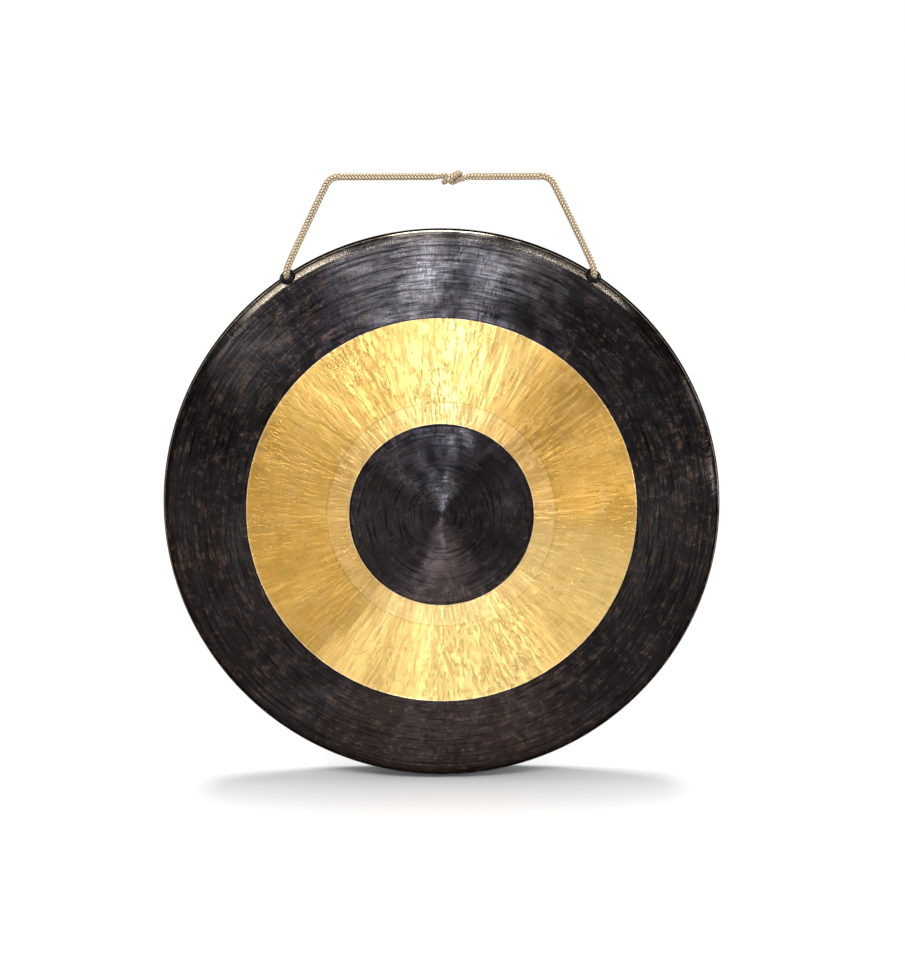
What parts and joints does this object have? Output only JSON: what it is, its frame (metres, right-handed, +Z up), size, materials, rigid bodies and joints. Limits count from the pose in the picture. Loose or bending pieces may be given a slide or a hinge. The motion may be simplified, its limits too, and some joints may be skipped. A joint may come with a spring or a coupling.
{
  "type": "hanging tam-tam",
  "caption": "Hammered bronze tam-tam with a turned-back rim and a scraped bright ring, hung through grommets on a knotted cord.",
  "frame": {"origin": "middle of the straight top run of the cord, on its centreline: the line between the two hooks that hold the gong up", "axes": "+Z up, +Y away from the struck face towards the open back, +X along the top run of the cord to the right of someone facing the struck face"},
  "size_m": [0.5, 0.046, 0.5482],
  "materials": {
    "bronze": "cast and hammered tin bronze under a black forging skin, scraped bright in a ring on both faces",
    "rubber": "glossy black moulded rubber",
    "braided_cord": "cream braided nylon cord, 6 mm"
  },
  "bodies": {
    "hanging_cord": {"cord_top_left": "braided_cord", "cord_knot": "braided_cord", "cord_top_right": "braided_cord"},
    "cord_legs": {"cord_leg_left": "braided_cord", "cord_leg_right": "braided_cord"},
    "gong": {"gong_disc": "bronze", "grommet_left": "rubber", "grommet_right": "rubber", "cord_back": "braided_cord"}
  },
  "joints": [
    {"name": "hook_swing", "type": "hinge", "parent": "hanging_cord", "child": "cord_legs", "pos_m": [0, 0, 0], "axis": [1, 0, 0], "range_deg": [-60, 60]},
    {"name": "gong_rock", "type": "hinge", "parent": "cord_legs", "child": "gong", "pos_m": [0, -0.00009, -0.0805], "axis": [1, 0, 0], "range_deg": [-70, 12]}
  ]
}
